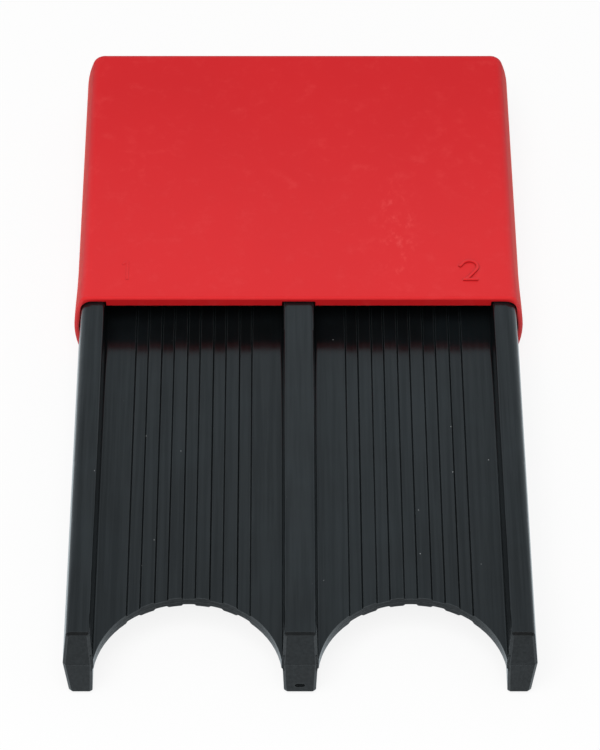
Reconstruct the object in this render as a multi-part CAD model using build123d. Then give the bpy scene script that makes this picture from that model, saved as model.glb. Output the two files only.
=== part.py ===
from build123d import *

import math
import os

# Reed guard: a hard tray that holds two reeds on each face, and a soft sleeve over its back.
# Millimetres, +Z up, -Y is the open end with the finger notches. The origin is the middle of
# the bounding box at the height of the sleeve's flat underside.
# Both mouldings part at mid height, so each is drawn as its upper half and then mirrored.
# While it is drawn, Y runs from the tray's front faces and Z from the parting plane.

# Tray: the rails are tallest at the open end and lower towards the sleeve's mouth and beyond
tray_width = 46.0
rail_height = 9.0
rail_fall = 1.2
exposed_length = 45.55
side_rail_thickness = 2.9
centre_rail_thickness = 3.44
side_draft = 6.0
bay_draft = 2.0
front_draft = 1.7
side_corner = 0.5
mouth_side_corner = 1.2
rail_edge = 0.3
centre_rail_edge = 0.4
front_edge = 0.26

# Plate between the rails, with sloping-sided grooves along both faces, as wide as given at half depth
plate_thickness = 1.17
plate_setback = 0.1
plate_root = 0.25
groove_count = 5
groove_pitch = 2.7
groove_width = 1.28
groove_depth = 0.2
groove_draft = 42
groove_back_margin = 3.0
notch_lead = 1.2

# Seat for the sleeve: the sides step in behind the sleeve's mouth and again at the back end
seat_start = 0.8
seat_taper = 3.0
seat_side_step = 0.6
back_lead = 1.5
back_side_step = 0.3

# Gate mark on the centre rail's front face
gate_width = 1.0
gate_height = 0.5
gate_depth = 0.2
gate_drop = 3.3

# Sleeve
fit_clearance = 0.1
sleeve_length = 38.5
sleeve_side_wall = 0.88
sleeve_face_wall = 0.5
sleeve_end_wall = 1.2
sleeve_side_radius = 11.0
sleeve_corner = 0.9
sleeve_back_corner = 1.3
pad_drop = 0.615
pad_clearance = 0.15
pad_edge = 0.2
lip_length = 7.0
lip_swell = 0.17
lip_edge = 0.3
lip_bands = 4

# Length by which cuts and joined blocks run past the faces they meet
overrun = 2.0

half_width = tray_width / 2
half_height = rail_height / 2
mouth_half_height = (rail_height - rail_fall) / 2
half_plate = plate_thickness / 2
tray_length = exposed_length + sleeve_length - sleeve_end_wall - fit_clearance
overall_length = exposed_length + sleeve_length

bay_inner = centre_rail_thickness / 2
bay_outer = half_width - side_rail_thickness
bay_centre = (bay_inner + bay_outer) / 2
bay_half_width = (bay_outer - bay_inner) / 2
side_rail_centre = (bay_outer + half_width) / 2

sleeve_half_width = half_width - seat_side_step + fit_clearance + sleeve_side_wall
sleeve_half_height = mouth_half_height + fit_clearance + sleeve_face_wall

# Stations along the tray: distance from the front, inward step of the sides, outer edge's round
stations = [
    (0, 0, side_corner),
    (exposed_length + seat_start, 0, mouth_side_corner),
    (exposed_length + seat_start + seat_taper, seat_side_step, mouth_side_corner),
    (tray_length - back_lead, seat_side_step, mouth_side_corner),
    (tray_length, seat_side_step + back_side_step, mouth_side_corner),
]


def leaning(length, draft):
    """How far a wall that rises by length leans over at this draft angle."""
    return length * math.tan(math.radians(draft))


def rail_top(y):
    """Height of the rails' top above the parting plane, falling evenly from the open end."""
    return half_height - (half_height - mouth_half_height) * y / exposed_length


def cross_section(corners, rounds, y):
    """Face across the length at y, from (x, z) corners, with a round given for some of them."""
    face = make_face(Polyline(*corners, close=True).edges())
    for corner, radius in rounds.items():
        face = fillet(face.vertices().sort_by_distance((*corner, 0))[0], radius)
    return Plane.XZ.offset(-y) * face


def along_length(corners, rounds, start, end):
    """Straight bar with one cross section between two stations."""
    return extrude(cross_section(corners, rounds, start), amount=end - start, dir=(0, 1, 0))


def side_rail_half():
    """Upper half of the right side rail: drafted walls, stepped in where the sleeve seats."""
    sections = []
    for y, side_step, corner in stations:
        outer = half_width - side_step
        top = rail_top(y)
        outer_top = (outer - leaning(top, side_draft), top)
        inner_top = (bay_outer + leaning(top, bay_draft), top)
        corners = [(bay_outer, 0), (outer, 0), outer_top, inner_top]
        sections.append(cross_section(corners, {outer_top: corner, inner_top: rail_edge}, y))
    return loft(sections, ruled=True)


def centre_rail_half():
    """Upper half of the centre rail, drafted alike on both sides."""
    sections = []
    for y, edge in [(0, centre_rail_edge), (tray_length, rail_edge)]:
        top = rail_top(y)
        right_top = (bay_inner - leaning(top, bay_draft), top)
        left_top = (-right_top[0], top)
        corners = [(-bay_inner, 0), (bay_inner, 0), right_top, left_top]
        sections.append(cross_section(corners, {left_top: edge, right_top: edge}, y))
    return loft(sections, ruled=True)


def lean_front_back(rail):
    """Lean the rail's front face back from the parting plane and break the edges round it."""
    top = half_height + overrun
    slope = leaning(top, front_draft)
    outline = Polyline((0, -overrun, 0), (0, 0, 0), (0, slope, top), (0, -overrun, top), close=True)
    wedge = extrude(make_face(outline.edges()), amount=tray_width, both=True, dir=(1, 0, 0))
    rail = (rail - wedge).solid()
    front = rail.faces().sort_by(Axis.Y)[0]
    edges = [edge for edge in front.edges() if edge.center().Z > front_edge]
    return chamfer(edges, front_edge)


def plate_half():
    """Upper half of the right bay's plate: rounded into the rails, grooved, notched in front."""
    root = half_plate + 2 * plate_root
    left = bay_inner - leaning(half_plate, bay_draft)
    right = bay_outer + leaning(half_plate, bay_draft)
    left_foot = (left, half_plate)
    right_foot = (right, half_plate)
    corners = [
        (0, 0),
        (side_rail_centre, 0),
        (side_rail_centre, root),
        (bay_outer + leaning(root, bay_draft), root),
        right_foot,
        left_foot,
        (bay_inner - leaning(root, bay_draft), root),
        (0, root),
    ]
    rounds = {left_foot: plate_root, right_foot: plate_root}
    plate = along_length(corners, rounds, plate_setback, tray_length - back_lead)

    flare = leaning(groove_depth, groove_draft)
    floor_reach = (groove_width - flare) / 2
    groove_corners = [
        (-floor_reach, half_plate - groove_depth),
        (floor_reach, half_plate - groove_depth),
        (floor_reach + 2 * flare, half_plate + groove_depth),
        (-floor_reach - 2 * flare, half_plate + groove_depth),
    ]
    groove_end = tray_length - back_lead - groove_back_margin
    groove = along_length(groove_corners, {}, -overrun, groove_end)
    places = Pos(bay_centre, 0, 0) * GridLocations(groove_pitch, 0, groove_count, 1)
    plate -= [place * groove for place in places]

    notch = Cylinder(bay_half_width, 2 * root)
    return plate - Pos(bay_centre, -notch_lead, 0) * notch


def reed_tray():
    """The whole tray, mirrored across the centre line and the parting plane."""
    side_rail = lean_front_back(side_rail_half())
    centre_rail = lean_front_back(centre_rail_half())
    plate = plate_half()
    half = centre_rail + side_rail + plate
    half += mirror(side_rail + plate, about=Plane.YZ)
    tray = half + mirror(half, about=Plane.XY)
    pit = extrude(SlotOverall(gate_width, gate_height), amount=gate_depth, both=True)
    lean = leaning(gate_drop, front_draft)
    return tray - Pos(0, lean, -gate_drop) * Rot(X=90) * pit


def sleeve_section(y, swell):
    """Cross section of the sleeve's outside, with flat faces and bulging sides."""
    bulge = sleeve_side_radius - math.sqrt(sleeve_side_radius**2 - sleeve_half_height**2)
    middle = sleeve_half_width + swell
    edge = middle - bulge
    side = ThreePointArc((edge, -sleeve_half_height), (middle, 0), (edge, sleeve_half_height))
    face = Line(side @ 0, (0, -sleeve_half_height))
    right = Curve() + [side, face, mirror(face, about=Plane.XZ)]
    outline = (right + mirror(right, about=Plane.YZ)).edges()
    return Plane.XZ.offset(-y) * make_face(outline)


def sleeve_outside():
    """Outside of the sleeve: swollen towards the mouth, rounded along every outer edge."""
    sections = []
    for band in range(lip_bands + 1):
        share = band / lip_bands
        swell = lip_swell * (1 + math.cos(math.pi * share)) / 2
        sections.append(sleeve_section(exposed_length + lip_length * share, swell))
    lip = loft(sections)
    body = extrude(sections[-1], amount=sleeve_length - lip_length, dir=(0, 1, 0))
    back = body.faces().sort_by(Axis.Y)[-1]
    body = fillet(back.edges().filter_by(GeomType.CIRCLE), sleeve_back_corner)
    outside = lip + body
    for level in (sleeve_half_height, -sleeve_half_height):
        edges = [edge for edge in outside.edges() if on_level(edge, level) and not at_mouth(edge)]
        outside = fillet(edges, sleeve_corner)
    mouth = outside.faces().sort_by(Axis.Y)[0]
    return fillet(mouth.edges(), lip_edge)


def on_level(edge, level):
    """True for an edge that lies in the horizontal plane at this height."""
    return all(abs(edge.position_at(share).Z - level) < front_edge / 10 for share in (0, 0.5, 1))


def at_mouth(edge):
    """True for an edge that lies in the plane of the sleeve's mouth."""
    return abs(edge.center().Y - exposed_length) < front_edge / 10


def sleeve_cavity():
    """The space inside: the tray's own outline with the fit's clearance."""
    mouth = (exposed_length - overrun, 0, mouth_side_corner)
    end = (tray_length + fit_clearance, *stations[-1][1:])
    sections = []
    for y, side_step, corner in [mouth, *stations[1:-1], end]:
        outer = half_width - side_step + fit_clearance
        top = rail_top(y) + fit_clearance
        edge = outer - leaning(top, side_draft)
        corners = [(edge, -top), (outer, 0), (edge, top), (-edge, top), (-outer, 0), (-edge, -top)]
        rounds = {place: corner for place in corners if place[1]}
        sections.append(cross_section(corners, rounds, y))
    return loft(sections, ruled=True)


def reed_pad():
    """Thicker stretch of the sleeve's upper wall, down into the right bay between the rails' tops."""
    bottom = mouth_half_height - pad_drop
    top = sleeve_half_height - sleeve_face_wall / 2
    left = bay_inner + pad_clearance
    right = bay_outer - pad_clearance
    corners = [
        (left - leaning(bottom, bay_draft), bottom),
        (right + leaning(bottom, bay_draft), bottom),
        (right + leaning(top, bay_draft), top),
        (left - leaning(top, bay_draft), top),
    ]
    pad = along_length(corners, {}, exposed_length, overall_length - sleeve_end_wall / 2)
    face = pad.faces().sort_by(Axis.Z)[0]
    edge = face.edges().sort_by(Axis.Y)[0]
    return fillet(edge, pad_edge)


def sleeve():
    """The whole sleeve: outside less cavity, with a pad over each of the four reeds."""
    upper_pad = reed_pad()
    right_pads = [upper_pad, mirror(upper_pad, about=Plane.XY)]
    left_pads = [mirror(pad, about=Plane.YZ) for pad in right_pads]
    return sleeve_outside() - sleeve_cavity() + right_pads + left_pads


os.makedirs("parts", exist_ok=True)
placing = Pos(0, -overall_length / 2, sleeve_half_height)
for node, shape in {"reed_tray": reed_tray(), "sleeve": sleeve()}.items():
    shape = placing * shape
    print(node, [round(value, 3) for value in (*shape.bounding_box().min, *shape.bounding_box().max)])
    export_step(shape, f"parts/{node}.step")
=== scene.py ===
import math

import bmesh
import bpy
from mathutils import Matrix, Vector


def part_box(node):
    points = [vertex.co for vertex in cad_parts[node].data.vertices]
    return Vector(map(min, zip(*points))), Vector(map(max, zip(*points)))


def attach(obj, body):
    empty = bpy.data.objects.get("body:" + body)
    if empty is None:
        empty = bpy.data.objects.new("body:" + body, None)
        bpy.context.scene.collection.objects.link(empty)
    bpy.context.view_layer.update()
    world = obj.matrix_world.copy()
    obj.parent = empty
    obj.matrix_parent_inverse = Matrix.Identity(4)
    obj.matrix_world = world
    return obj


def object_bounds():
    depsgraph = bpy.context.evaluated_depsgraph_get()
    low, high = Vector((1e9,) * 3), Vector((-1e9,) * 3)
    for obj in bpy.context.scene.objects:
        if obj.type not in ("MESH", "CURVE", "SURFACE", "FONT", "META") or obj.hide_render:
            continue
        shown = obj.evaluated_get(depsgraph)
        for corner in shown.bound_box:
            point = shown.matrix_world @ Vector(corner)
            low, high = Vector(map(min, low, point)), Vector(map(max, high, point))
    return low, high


# Reed guard: hard ribbed tray in a soft sleeve. Metres, in the solids' own frame:
# -Y is the open end with the finger notches, +Z up, the sleeve's underside at zero.
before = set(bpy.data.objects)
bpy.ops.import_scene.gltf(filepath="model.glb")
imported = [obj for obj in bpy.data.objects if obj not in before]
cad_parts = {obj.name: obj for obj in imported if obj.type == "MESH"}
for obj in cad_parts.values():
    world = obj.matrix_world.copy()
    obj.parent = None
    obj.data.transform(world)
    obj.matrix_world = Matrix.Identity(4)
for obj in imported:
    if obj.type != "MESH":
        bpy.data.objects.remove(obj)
cad_low, cad_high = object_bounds()
sleeve_low, sleeve_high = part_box("sleeve")

MM = 0.001

# The photograph: its size, and the camera that its outline was fitted with
PHOTO_WIDTH = 600
PHOTO_HEIGHT = 750
FOCAL_PIXELS = 3819
SENSOR_MM = 36.0
CAMERA_ELEVATION = math.radians(46.3)
CAMERA_DISTANCE = 396.4 * MM
AIM_BEHIND_FRONT = 38.79 * MM
CAMERA_LEFT = 1.95 * MM
AXIS_COLUMN = 280
CLIP_NEAR = CAMERA_DISTANCE / 20
CLIP_FAR = CAMERA_DISTANCE * 50

# Surface colours as they look, in sRGB
TRAY_BLACK = "0B0D0E"
TRAY_WORN = "111517"
DUST_WHITE = "C9CBCB"
RUBBED_GREY = "4C5052"
SLEEVE_RED = "D31C20"
# The darker red serves both the cloudy tone and the painted shade towards the back
SLEEVE_CLOUD_AND_SHADE_RED = "C5181D"
SCUFF_PINK = "E45A58"
SHEEN_PINK = "F5B8B0"
# Painted shade in hollows, at the foot of the numerals
PAINTED_CREASE_SHADE_RED = "AA161A"
FLOOR_WHITE = "E9E9E9"
PLAIN_WHITE = "FFFFFF"

# Colours of the room and the table as gloss mirrors them
BACKDROP_WHITE = "E6F6FF"
CEILING_GREY = "9EA9AF"
SIDE_SHADE = "D2D2D2"
FRONT_GREY = "989898"
TABLE_MIRRORED = "DCE9F0"

# Where the mirrored room changes tone, by the direction's own X, Y and Z: a white backdrop
# behind, which greys upwards and a little to both sides, and a grey room in front
BACKDROP_TOP = 0.92
BACKDROP_BOTTOM = 0.66
FRONT_DARK = -0.25
FRONT_CLEAR = 0.30
LEFT_CLEAR = 0.04
LEFT_SHADED = -0.12
RIGHT_CLEAR = 0.03
RIGHT_SHADED = 0.09

# Strength of the even light, and of the room in gloss
EVEN_LIGHT = 0.47
MIRRORED_LIGHT = 1.5

# Key light: azimuth from the front, negative to the left, distance and size in metres, power in watts
KEY_AZIMUTH = math.radians(-15)
KEY_ELEVATION = math.radians(64)
KEY_DISTANCE = 0.6
KEY_SIZE = 0.4
KEY_POWER = 3.0

# Table: half its side, its distance below the sleeve, which clears the numerals beneath, and how
# much of it shows plain white where it is seen
FLOOR_REACH = 1.5
FLOOR_GAP = 0.12 * MM
FLOOR_WHITENESS = 0.87

# Tray: size of its cloudy tone, and its flow streaks' width, length and depth
CLOUD_SIZE = 9 * MM
STREAK_SIZE = 0.4 * MM
STREAK_SHARES = (1, 0.02, 1)
STREAK_DEPTH = 0.004 * MM

# Dust: distance between specks if every cell had one, the speck's edge and core as shares of a
# cell, the part of the cells left clean, and how white it is
DUST_SPACING = 1.2 * MM
DUST_EDGE = 0.06
DUST_CORE = 0.03
CLEAN_CELLS = 0.93
DUST_COVER = 0.5

# Rubbed edges: reach, the likeness of the rounded and the true normal where the rubbing starts
# and is full, and how pale it is
RUBBED_REACH = 0.12 * MM
RUBBED_START = 0.98
RUBBED_FULL = 0.85
RUBBED_COVER = 0.6

# Parting line round the tray, where the moulds met at mid height: half its foot and crest, height
PARTING_HEIGHT = (cad_low.z + cad_high.z) / 2
PARTING_FOOT = 0.06 * MM
PARTING_CREST = 0.02 * MM
PARTING_RISE = 0.03 * MM

# Tray's roughness and gloss between its streaks, and what a streak adds
TRAY_ROUGHNESS = 0.16
STREAK_ROUGHNESS = 0.06
TRAY_GLOSS = 0.24
STREAK_GLOSS = 0.10

# Sleeve: size of its cloudy tone, what the cloud and the painted shade towards the back add to the darker
# red, and its powdery grain, which is finer on the real skin and drawn coarse enough to show
SLEEVE_CLOUD_SIZE = 14 * MM
CLOUD_DEEPENS = 0.5
BACK_PAINTED_SHADE = 0.7
GRAIN_SIZE = 0.18 * MM
GRAIN_DEPTH = 0.02 * MM

# Scuffed patch right of the middle: its centre and how far it reaches, and the size of its rubs
SCUFF_PLACE = (10.5 * MM, sleeve_low.y + 11 * MM, sleeve_high.z)
SCUFF_REACH = (2.8 * MM, 12 * MM, 3 * MM)
SCUFF_SIZE = 1.1 * MM
SCUFF_SHARES = (1.0, 0.6, 1.0)
SCUFF_COVER = 0.4

# Handling marks all over the sleeve
WEAR_SIZE = 1.6 * MM
WEAR_COVER = 0.14

# Reach of the painted shade at the foot of the numerals
CREASE_SHADE_REACH = 0.4 * MM

# Sleeve's gloss at the mouth and its change towards the back, and how squarely it has to be seen
SLEEVE_GLOSS = 0.5
BACK_GLOSS_CHANGE = -0.24
GLOSS_GONE = 0.9
GLOSS_FULL = 0.38

# Numerals on the sleeve: raised strokes with steep walls and slightly broken top edges
NUMERAL_WIDTH = 1.7 * MM
NUMERAL_HEIGHT = 2.75 * MM
STROKE_WIDTH = 0.3 * MM
STROKE_RISE = 0.14 * MM
WORN_RISE = 0.03 * MM
HIDDEN_RISE = 0.1 * MM
STROKE_ROOT = 0.1 * MM
STROKE_BREAK = 0.02 * MM
STROKE_STEP = 0.002 * MM
NUMERAL_FROM_CENTRE = 17.95 * MM
NUMERAL_BEHIND_MOUTH = 4.12 * MM
ARC_STEPS = 20

# Their proportions, as shares of half the numeral's width or height
ONE_FLAG = 0.6
TWO_TAIL = 1.25
TWO_HEEL = 0.4
TWO_FOOT = 0.85
FOUR_STEM = 0.5
FOUR_BAR = 0.35

# Where their arcs start and end, in degrees
TWO_BOWL = (160, -35)
THREE_UPPER_BOWL = (150, -90)
THREE_LOWER_BOWL = (90, -150)

# Settings that several nodes share
SMOOTH_RANGE = {"clamp": True, "interpolation_type": "SMOOTHSTEP"}
MULTIPLY = {"operation": "MULTIPLY"}
MULTIPLY_ADD = {"operation": "MULTIPLY_ADD"}
MAXIMUM = {"operation": "MAXIMUM"}
IN_COLOUR = {"data_type": "RGBA"}

# Places of a Mix node's colour sockets, which share their names with others
COLOUR_A = 6
COLOUR_B = 7
COLOUR_OUT = 2


def linear(hex_colour):
    """sRGB hex as the linear colour with alpha that a shader socket takes."""
    shares = [int(hex_colour[i:i + 2], 16) / 255 for i in (0, 2, 4)]
    return (*[s / 12.92 if s <= 0.04045 else ((s + 0.055) / 1.055) ** 2.4 for s in shares], 1.0)


def add_node(tree, kind, settings=None, inputs=None):
    """Add a node and give its outputs. An input takes a value or the socket that feeds it."""
    node = tree.nodes.new(kind)
    for name, value in (settings or {}).items():
        setattr(node, name, value)
    for name, value in (inputs or {}).items():
        if isinstance(value, bpy.types.NodeSocket):
            tree.links.new(value, node.inputs[name])
        else:
            node.inputs[name].default_value = value
    return node.outputs


def new_material(name):
    """Material with an empty node tree."""
    material = bpy.data.materials.new(name)
    material.use_nodes = True
    material.node_tree.nodes.clear()
    return material, material.node_tree


def black_abs():
    """Finish of the tray."""
    # ABS moulded in a polished tool: almost black, and glossy enough to mirror the room, with
    # streaks along the flow, a fine parting line, pale rubbed edges and specks of dust
    material, tree = new_material("black_abs")
    place = add_node(tree, "ShaderNodeTexCoord")["Object"]

    # Body: two near blacks in soft clouds
    cloud = add_node(
        tree,
        "ShaderNodeTexNoise",
        inputs={"Vector": place, "Scale": 1 / CLOUD_SIZE, "Detail": 4.0, "Roughness": 0.6},
    )["Fac"]
    worn = add_node(
        tree, "ShaderNodeMapRange", SMOOTH_RANGE, {"Value": cloud, "From Min": 0.35, "From Max": 0.75}
    )["Result"]
    body = add_node(
        tree,
        "ShaderNodeMix",
        IN_COLOUR,
        {"Factor": worn, COLOUR_A: linear(TRAY_BLACK), COLOUR_B: linear(TRAY_WORN)},
    )[COLOUR_OUT]

    # Streaks: fine noise drawn out along the tray
    drawn_out = add_node(tree, "ShaderNodeVectorMath", MULTIPLY, {0: place, 1: STREAK_SHARES})["Vector"]
    flow = add_node(
        tree,
        "ShaderNodeTexNoise",
        inputs={"Vector": drawn_out, "Scale": 1 / STREAK_SIZE, "Detail": 4.0, "Roughness": 0.65},
    )["Fac"]
    streaks = add_node(
        tree, "ShaderNodeMapRange", SMOOTH_RANGE, {"Value": flow, "From Min": 0.35, "From Max": 0.65}
    )["Result"]

    # Dust: small round specks in a few of the cells of a cell pattern
    cells = add_node(
        tree,
        "ShaderNodeTexVoronoi",
        inputs={"Vector": place, "Scale": 1 / DUST_SPACING, "Randomness": 1.0},
    )
    speck = add_node(
        tree,
        "ShaderNodeMapRange",
        SMOOTH_RANGE,
        {"Value": cells["Distance"], "From Min": DUST_EDGE, "From Max": DUST_CORE},
    )["Result"]
    chance = add_node(tree, "ShaderNodeSeparateColor", inputs={"Color": cells["Color"]})["Red"]
    dusty = add_node(
        tree, "ShaderNodeMath", {"operation": "GREATER_THAN"}, {0: chance, 1: CLEAN_CELLS}
    )["Value"]
    chosen = add_node(tree, "ShaderNodeMath", MULTIPLY, {0: speck, 1: dusty})["Value"]
    dust = add_node(tree, "ShaderNodeMath", MULTIPLY, {0: chosen, 1: DUST_COVER})["Value"]

    # Rubbed edges: where a rounded normal turns away from the true one
    rounded = add_node(tree, "ShaderNodeBevel", {"samples": 6}, {"Radius": RUBBED_REACH})["Normal"]
    true_normal = add_node(tree, "ShaderNodeNewGeometry")["Normal"]
    alike = add_node(
        tree, "ShaderNodeVectorMath", {"operation": "DOT_PRODUCT"}, {0: rounded, 1: true_normal}
    )["Value"]
    edges = add_node(
        tree,
        "ShaderNodeMapRange",
        SMOOTH_RANGE,
        {"Value": alike, "From Min": RUBBED_START, "From Max": RUBBED_FULL},
    )["Result"]
    rubbed = add_node(tree, "ShaderNodeMath", MULTIPLY, {0: edges, 1: RUBBED_COVER})["Value"]
    edged = add_node(
        tree, "ShaderNodeMix", IN_COLOUR, {"Factor": rubbed, COLOUR_A: body, COLOUR_B: linear(RUBBED_GREY)}
    )[COLOUR_OUT]
    colour = add_node(
        tree, "ShaderNodeMix", IN_COLOUR, {"Factor": dust, COLOUR_A: edged, COLOUR_B: linear(DUST_WHITE)}
    )[COLOUR_OUT]

    # Parting line: a hair-fine ridge at mid height
    height = add_node(tree, "ShaderNodeSeparateXYZ", inputs={"Vector": place})["Z"]
    above = add_node(
        tree, "ShaderNodeMath", {"operation": "SUBTRACT"}, {0: height, 1: PARTING_HEIGHT}
    )["Value"]
    away = add_node(tree, "ShaderNodeMath", {"operation": "ABSOLUTE"}, {0: above})["Value"]
    ridge = add_node(
        tree,
        "ShaderNodeMapRange",
        SMOOTH_RANGE,
        {"Value": away, "From Min": PARTING_FOOT, "From Max": PARTING_CREST},
    )["Result"]
    parted = add_node(
        tree, "ShaderNodeBump", inputs={"Strength": 1.0, "Distance": PARTING_RISE, "Height": ridge}
    )["Normal"]
    normal = add_node(
        tree,
        "ShaderNodeBump",
        inputs={"Strength": 0.25, "Distance": STREAK_DEPTH, "Height": streaks, "Normal": parted},
    )["Normal"]

    roughness = add_node(
        tree, "ShaderNodeMath", MULTIPLY_ADD, {0: streaks, 1: STREAK_ROUGHNESS, 2: TRAY_ROUGHNESS}
    )["Value"]
    gloss = add_node(
        tree, "ShaderNodeMath", MULTIPLY_ADD, {0: streaks, 1: STREAK_GLOSS, 2: TRAY_GLOSS}
    )["Value"]
    shader = add_node(
        tree,
        "ShaderNodeBsdfPrincipled",
        inputs={
            "Base Color": colour,
            "Roughness": roughness,
            "IOR": 1.5,
            "Specular IOR Level": gloss,
            "Normal": normal,
        },
    )["BSDF"]
    add_node(tree, "ShaderNodeOutputMaterial", inputs={"Surface": shader})
    return material


def red_soft_touch():
    """Finish of the sleeve and its numerals."""
    # Rubber moulded with a soft-touch skin: strong even red with a powdery sheen and no sharp
    # reflections, with painted shade that darkens it towards the back so the mouth shows paler, and scuffed
    # pale
    material, tree = new_material("red_soft_touch")
    place = add_node(tree, "ShaderNodeTexCoord")["Object"]

    # Body: painted shade that darkens the red towards the back, over soft clouds of a darker red
    distance = add_node(tree, "ShaderNodeSeparateXYZ", inputs={"Vector": place})["Y"]
    backwards = add_node(
        tree,
        "ShaderNodeMapRange",
        SMOOTH_RANGE,
        {"Value": distance, "From Min": sleeve_low.y, "From Max": sleeve_high.y},
    )["Result"]
    cloud = add_node(
        tree,
        "ShaderNodeTexNoise",
        inputs={"Vector": place, "Scale": 1 / SLEEVE_CLOUD_SIZE, "Detail": 3.0, "Roughness": 0.55},
    )["Fac"]
    painted_back_shade = add_node(tree, "ShaderNodeMath", MULTIPLY, {0: backwards, 1: BACK_PAINTED_SHADE})["Value"]
    cloud_and_painted_shade = add_node(tree, "ShaderNodeMath", MULTIPLY_ADD, {0: cloud, 1: CLOUD_DEEPENS, 2: painted_back_shade})["Value"]
    body = add_node(
        tree,
        "ShaderNodeMix",
        IN_COLOUR,
        {"Factor": cloud_and_painted_shade, COLOUR_A: linear(SLEEVE_RED), COLOUR_B: linear(SLEEVE_CLOUD_AND_SHADE_RED)},
    )[COLOUR_OUT]

    # Scuffs: short pale rubs inside one long patch
    offset = add_node(
        tree, "ShaderNodeVectorMath", {"operation": "SUBTRACT"}, {0: place, 1: SCUFF_PLACE}
    )["Vector"]
    spread = add_node(
        tree, "ShaderNodeVectorMath", {"operation": "DIVIDE"}, {0: offset, 1: SCUFF_REACH}
    )["Vector"]
    reach = add_node(tree, "ShaderNodeVectorMath", {"operation": "LENGTH"}, {0: spread})["Value"]
    patch = add_node(
        tree, "ShaderNodeMapRange", SMOOTH_RANGE, {"Value": reach, "From Min": 1.0, "From Max": 0.2}
    )["Result"]
    lengthened = add_node(tree, "ShaderNodeVectorMath", MULTIPLY, {0: place, 1: SCUFF_SHARES})["Vector"]
    rubs = add_node(
        tree,
        "ShaderNodeTexNoise",
        inputs={"Vector": lengthened, "Scale": 1 / SCUFF_SIZE, "Detail": 4.0, "Roughness": 0.7},
    )["Fac"]
    strokes = add_node(
        tree, "ShaderNodeMapRange", SMOOTH_RANGE, {"Value": rubs, "From Min": 0.5, "From Max": 0.72}
    )["Result"]
    patched = add_node(tree, "ShaderNodeMath", MULTIPLY, {0: patch, 1: strokes})["Value"]
    scuffs = add_node(tree, "ShaderNodeMath", MULTIPLY, {0: patched, 1: SCUFF_COVER})["Value"]

    # Handling marks: faint pale touches all over
    wear = add_node(
        tree,
        "ShaderNodeTexNoise",
        inputs={"Vector": place, "Scale": 1 / WEAR_SIZE, "Detail": 5.0, "Roughness": 0.7},
    )["Fac"]
    touches = add_node(
        tree, "ShaderNodeMapRange", SMOOTH_RANGE, {"Value": wear, "From Min": 0.5, "From Max": 0.8}
    )["Result"]
    handled = add_node(tree, "ShaderNodeMath", MULTIPLY, {0: touches, 1: WEAR_COVER})["Value"]
    marks = add_node(tree, "ShaderNodeMath", MAXIMUM, {0: scuffs, 1: handled})["Value"]
    marked = add_node(
        tree, "ShaderNodeMix", IN_COLOUR, {"Factor": marks, COLOUR_A: body, COLOUR_B: linear(SCUFF_PINK)}
    )[COLOUR_OUT]

    # Painted shade: the red darkens where the surface is hemmed in, as at the foot of the numerals
    openness = add_node(
        tree, "ShaderNodeAmbientOcclusion", {"samples": 8}, {"Distance": CREASE_SHADE_REACH}
    )["AO"]
    painted_crease_shade = add_node(
        tree, "ShaderNodeMapRange", SMOOTH_RANGE, {"Value": openness, "From Min": 1.0, "From Max": 0.5}
    )["Result"]
    colour = add_node(
        tree, "ShaderNodeMix", IN_COLOUR, {"Factor": painted_crease_shade, COLOUR_A: marked, COLOUR_B: linear(PAINTED_CREASE_SHADE_RED)}
    )[COLOUR_OUT]

    # Powdery skin: seen edge on, its gloss fades and its sheen glows
    gloss = add_node(
        tree, "ShaderNodeMath", MULTIPLY_ADD, {0: backwards, 1: BACK_GLOSS_CHANGE, 2: SLEEVE_GLOSS}
    )["Value"]
    facing = add_node(tree, "ShaderNodeLayerWeight", inputs={"Blend": 0.5})["Facing"]
    square_on = add_node(
        tree,
        "ShaderNodeMapRange",
        SMOOTH_RANGE,
        {"Value": facing, "From Min": GLOSS_GONE, "From Max": GLOSS_FULL},
    )["Result"]
    seen_gloss = add_node(tree, "ShaderNodeMath", MULTIPLY, {0: gloss, 1: square_on})["Value"]
    grain = add_node(
        tree,
        "ShaderNodeTexNoise",
        inputs={"Vector": place, "Scale": 1 / GRAIN_SIZE, "Detail": 2.0, "Roughness": 0.7},
    )["Fac"]
    normal = add_node(
        tree, "ShaderNodeBump", inputs={"Strength": 0.15, "Distance": GRAIN_DEPTH, "Height": grain}
    )["Normal"]
    shader = add_node(
        tree,
        "ShaderNodeBsdfPrincipled",
        inputs={
            "Base Color": colour,
            "Roughness": 0.5,
            "IOR": 1.45,
            "Specular IOR Level": seen_gloss,
            "Sheen Weight": 0.5,
            "Sheen Roughness": 0.2,
            "Sheen Tint": linear(SHEEN_PINK),
            "Normal": normal,
        },
    )["BSDF"]
    add_node(tree, "ShaderNodeOutputMaterial", inputs={"Surface": shader})
    return material


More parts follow.
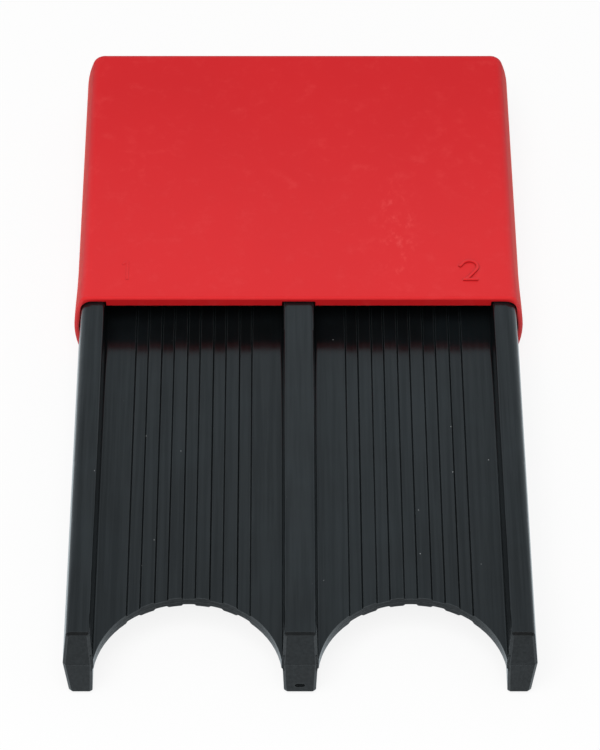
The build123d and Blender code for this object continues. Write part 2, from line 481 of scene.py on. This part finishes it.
def white_floor():
    """Finish of the table."""
    # Matt white board: it shows paler than it is lit, so that the shadow on it stays soft
    material, tree = new_material("white_floor")
    lit = add_node(tree, "ShaderNodeBsdfDiffuse", inputs={"Color": linear(FLOOR_WHITE)})["BSDF"]
    ray = add_node(tree, "ShaderNodeLightPath")
    tone = add_node(
        tree,
        "ShaderNodeMix",
        IN_COLOUR,
        {"Factor": ray["Is Glossy Ray"], COLOUR_A: linear(PLAIN_WHITE), COLOUR_B: linear(TABLE_MIRRORED)},
    )[COLOUR_OUT]
    glow = add_node(tree, "ShaderNodeEmission", inputs={"Color": tone, "Strength": 1.0})["Emission"]
    seen = add_node(
        tree, "ShaderNodeMath", MAXIMUM, {0: ray["Is Camera Ray"], 1: ray["Is Glossy Ray"]}
    )["Value"]
    seen = add_node(tree, "ShaderNodeMath", MAXIMUM, {0: seen, 1: ray["Is Transmission Ray"]})["Value"]
    share = add_node(tree, "ShaderNodeMath", MULTIPLY, {0: seen, 1: FLOOR_WHITENESS})["Value"]
    surface = add_node(tree, "ShaderNodeMixShader", inputs={"Fac": share, 1: lit, 2: glow})["Shader"]
    add_node(tree, "ShaderNodeOutputMaterial", inputs={"Surface": surface})
    return material


def dress(node, material):
    """Give a CAD node its finished material."""
    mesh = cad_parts[node].data
    for i in range(max(len(mesh.materials), 1)):
        if i < len(mesh.materials):
            mesh.materials[i] = material
        else:
            mesh.materials.append(material)


def arc(centre, radius, start, end):
    """Points along an arc, angles in degrees, in a numeral's own plane."""
    angles = [math.radians(start + (end - start) * i / ARC_STEPS) for i in range(ARC_STEPS + 1)]
    return [(centre[0] + radius * math.cos(a), centre[1] + radius * math.sin(a)) for a in angles]


def numeral_strokes(digit):
    """Centre lines of a numeral's strokes, about its middle."""
    side = NUMERAL_WIDTH / 2
    top = NUMERAL_HEIGHT / 2
    if digit == 1:
        flag = side * ONE_FLAG
        return [[(-flag, top - flag), (0, top)], [(0, top), (0, -top)]]
    if digit == 2:
        tail = (-side * TWO_TAIL, top - side)
        heel = (-side * TWO_HEEL, -top)
        foot = [(-side * TWO_FOOT, -top), (side, -top)]
        return [[tail, *arc((0, top - side), side, *TWO_BOWL), heel], foot]
    if digit == 3:
        bowl = top / 2
        return [arc((0, bowl), bowl, *THREE_UPPER_BOWL), arc((0, -bowl), bowl, *THREE_LOWER_BOWL)]
    stem = side * FOUR_STEM
    bar = -top * FOUR_BAR
    return [[(stem, -top), (stem, top)], [(stem, top), (-side, bar)], [(-side, bar), (side, bar)]]


def add_stroke(curve, points, height=0, closed=False):
    """Straight-edged spline through points in the curve's plane."""
    spline = curve.splines.new("POLY")
    spline.points.add(len(points) - 1)
    for point, (x, y) in zip(spline.points, points):
        point.co = (x, y, height, 1)
    spline.use_cyclic_u = closed


def stroke_profile(rise):
    """Cross section of a stroke: upright walls that start inside the sleeve, top edges broken."""
    side = STROKE_WIDTH / 2
    right = [(side, -STROKE_ROOT), (side, rise - STROKE_BREAK), (side - STROKE_BREAK, rise)]
    curve = bpy.data.curves.new("stroke_profile", "CURVE")
    curve.dimensions = "2D"
    add_stroke(curve, right + [(-x, y) for x, y in reversed(right)], closed=True)
    return curve


def make_numeral(digit, material, centre, rise, turned_over=False):
    """Raised numeral on the sleeve's top or, turned over, on its underside."""
    profile = bpy.data.objects.new("stroke_profile", stroke_profile(rise))
    curve = bpy.data.curves.new(f"numeral_{digit}", "CURVE")
    curve.dimensions = "3D"
    curve.twist_mode = "Z_UP"
    curve.bevel_mode = "OBJECT"
    curve.bevel_object = profile
    curve.use_fill_caps = True
    # Each stroke lies a hair above the one before, so that no two tops share a plane
    for i, points in enumerate(numeral_strokes(digit)):
        add_stroke(curve, points, height=i * STROKE_STEP)
    holder = bpy.data.objects.new(f"numeral_{digit}_curve", curve)
    for piece in (profile, holder):
        bpy.context.scene.collection.objects.link(piece)
    bpy.context.view_layer.update()
    shaped = holder.evaluated_get(bpy.context.evaluated_depsgraph_get())
    mesh = bpy.data.meshes.new_from_object(shaped)
    for piece in (profile, holder):
        bpy.data.objects.remove(piece)

    place = Matrix.Translation(centre)
    if turned_over:
        place = place @ Matrix.Rotation(math.pi, 4, "Y")
    mesh.transform(place)
    mesh.name = f"numeral_{digit}"
    mesh.materials.append(material)
    numeral = bpy.data.objects.new(f"numeral_{digit}", mesh)
    bpy.context.scene.collection.objects.link(numeral)
    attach(numeral, "sleeve_body")


def make_numerals(material):
    """1 and 2 on top, 3 and 4 beneath, each behind its own bay."""
    low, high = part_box("sleeve")
    y = low.y + NUMERAL_BEHIND_MOUTH
    for digit, side, rise in ((1, -1, WORN_RISE), (2, 1, STROKE_RISE)):
        centre = Vector((side * NUMERAL_FROM_CENTRE, y, high.z))
        make_numeral(digit, material, centre, rise)
    for digit, side in ((3, 1), (4, -1)):
        centre = Vector((side * NUMERAL_FROM_CENTRE, y, low.z))
        make_numeral(digit, material, centre, HIDDEN_RISE, turned_over=True)


def make_floor():
    """Table under the guard, a hair below it so that the raised numerals beneath fit."""
    grid = bmesh.new()
    bmesh.ops.create_grid(grid, x_segments=1, y_segments=1, size=FLOOR_REACH)
    bmesh.ops.translate(grid, verts=grid.verts, vec=(0, 0, cad_low.z - FLOOR_GAP))
    mesh = bpy.data.meshes.new("floor")
    grid.to_mesh(mesh)
    grid.free()
    floor = bpy.data.objects.new("floor", mesh)
    bpy.context.scene.collection.objects.link(floor)
    mesh.materials.append(white_floor())


def make_camera():
    """Camera at the photograph's view."""
    aim = Vector((-CAMERA_LEFT, cad_low.y + AIM_BEHIND_FRONT, PARTING_HEIGHT))
    back = Vector((0, -math.cos(CAMERA_ELEVATION), math.sin(CAMERA_ELEVATION)))
    data = bpy.data.cameras.new("camera")
    data.sensor_width = SENSOR_MM
    data.lens = FOCAL_PIXELS * SENSOR_MM / PHOTO_HEIGHT
    data.shift_x = (PHOTO_WIDTH / 2 - AXIS_COLUMN) / PHOTO_HEIGHT
    data.clip_start = CLIP_NEAR
    data.clip_end = CLIP_FAR
    camera = bpy.data.objects.new("camera", data)
    camera.location = aim + back * CAMERA_DISTANCE
    camera.rotation_mode = "QUATERNION"
    camera.rotation_quaternion = (-back).to_track_quat("-Z", "Y")
    bpy.context.scene.collection.objects.link(camera)
    bpy.context.scene.camera = camera


def make_key_light():
    """Large square softbox above and in front, aimed at the guard, which gloss doesn't mirror."""
    level = math.cos(KEY_ELEVATION)
    out = Vector(
        (math.sin(KEY_AZIMUTH) * level, -math.cos(KEY_AZIMUTH) * level, math.sin(KEY_ELEVATION))
    )
    data = bpy.data.lights.new("key", "AREA")
    data.shape = "SQUARE"
    data.size = KEY_SIZE
    data.energy = KEY_POWER
    lamp = bpy.data.objects.new("key", data)
    lamp.location = out * KEY_DISTANCE
    lamp.rotation_mode = "QUATERNION"
    lamp.rotation_quaternion = (-out).to_track_quat("-Z", "Y")
    lamp.visible_glossy = False
    bpy.context.scene.collection.objects.link(lamp)


def mirrored_room(tree):
    """Colour of the room as gloss mirrors it, by direction."""
    direction = add_node(tree, "ShaderNodeTexCoord")["Generated"]
    axes = add_node(tree, "ShaderNodeSeparateXYZ", inputs={"Vector": direction})

    # Backdrop: white low down, grey overhead
    upwards = add_node(
        tree,
        "ShaderNodeMapRange",
        SMOOTH_RANGE,
        {"Value": axes["Z"], "From Min": BACKDROP_BOTTOM, "From Max": BACKDROP_TOP},
    )["Result"]
    wall = add_node(
        tree,
        "ShaderNodeMix",
        IN_COLOUR,
        {"Factor": upwards, COLOUR_A: linear(BACKDROP_WHITE), COLOUR_B: linear(CEILING_GREY)},
    )[COLOUR_OUT]

    # Sides: a light shade to the left and right of the middle
    leftwards = add_node(
        tree,
        "ShaderNodeMapRange",
        SMOOTH_RANGE,
        {"Value": axes["X"], "From Min": LEFT_CLEAR, "From Max": LEFT_SHADED},
    )["Result"]
    rightwards = add_node(
        tree,
        "ShaderNodeMapRange",
        SMOOTH_RANGE,
        {"Value": axes["X"], "From Min": RIGHT_CLEAR, "From Max": RIGHT_SHADED},
    )["Result"]
    sideways = add_node(tree, "ShaderNodeMath", {"operation": "ADD"}, {0: leftwards, 1: rightwards})["Value"]
    shade = add_node(
        tree,
        "ShaderNodeMix",
        IN_COLOUR,
        {"Factor": sideways, COLOUR_A: linear(PLAIN_WHITE), COLOUR_B: linear(SIDE_SHADE)},
    )[COLOUR_OUT]
    shaded_wall = add_node(tree, "ShaderNodeVectorMath", MULTIPLY, {0: wall, 1: shade})["Vector"]

    # Front: a grey room behind the camera
    backwards = add_node(
        tree,
        "ShaderNodeMapRange",
        SMOOTH_RANGE,
        {"Value": axes["Y"], "From Min": FRONT_DARK, "From Max": FRONT_CLEAR},
    )["Result"]
    return add_node(
        tree,
        "ShaderNodeMix",
        IN_COLOUR,
        {"Factor": backwards, COLOUR_A: linear(FRONT_GREY), COLOUR_B: shaded_wall},
    )[COLOUR_OUT]


def make_room():
    """White to the camera, an even pale light on the object, and the mirrored room for gloss."""
    world = bpy.data.worlds.new("room")
    bpy.context.scene.world = world
    world.use_nodes = True
    tree = world.node_tree
    tree.nodes.clear()
    plain = linear(PLAIN_WHITE)
    ray = add_node(tree, "ShaderNodeLightPath")
    even = add_node(tree, "ShaderNodeBackground", inputs={"Color": plain, "Strength": EVEN_LIGHT})
    mirrored = add_node(
        tree, "ShaderNodeBackground", inputs={"Color": mirrored_room(tree), "Strength": MIRRORED_LIGHT}
    )
    white = add_node(tree, "ShaderNodeBackground", inputs={"Color": plain, "Strength": 1.0})
    glossy = add_node(
        tree, "ShaderNodeMath", MAXIMUM, {0: ray["Is Glossy Ray"], 1: ray["Is Transmission Ray"]}
    )["Value"]
    lit = add_node(
        tree, "ShaderNodeMixShader", inputs={"Fac": glossy, 1: even["Background"], 2: mirrored["Background"]}
    )["Shader"]
    seen = add_node(
        tree, "ShaderNodeMixShader", inputs={"Fac": ray["Is Camera Ray"], 1: lit, 2: white["Background"]}
    )["Shader"]
    add_node(tree, "ShaderNodeOutputWorld", inputs={"Surface": seen})


black = black_abs()
red = red_soft_touch()
dress("reed_tray", black)
dress("sleeve", red)
make_numerals(red)
make_floor()
make_camera()
make_key_light()
make_room()
bpy.context.scene.view_settings.view_transform = "Standard"
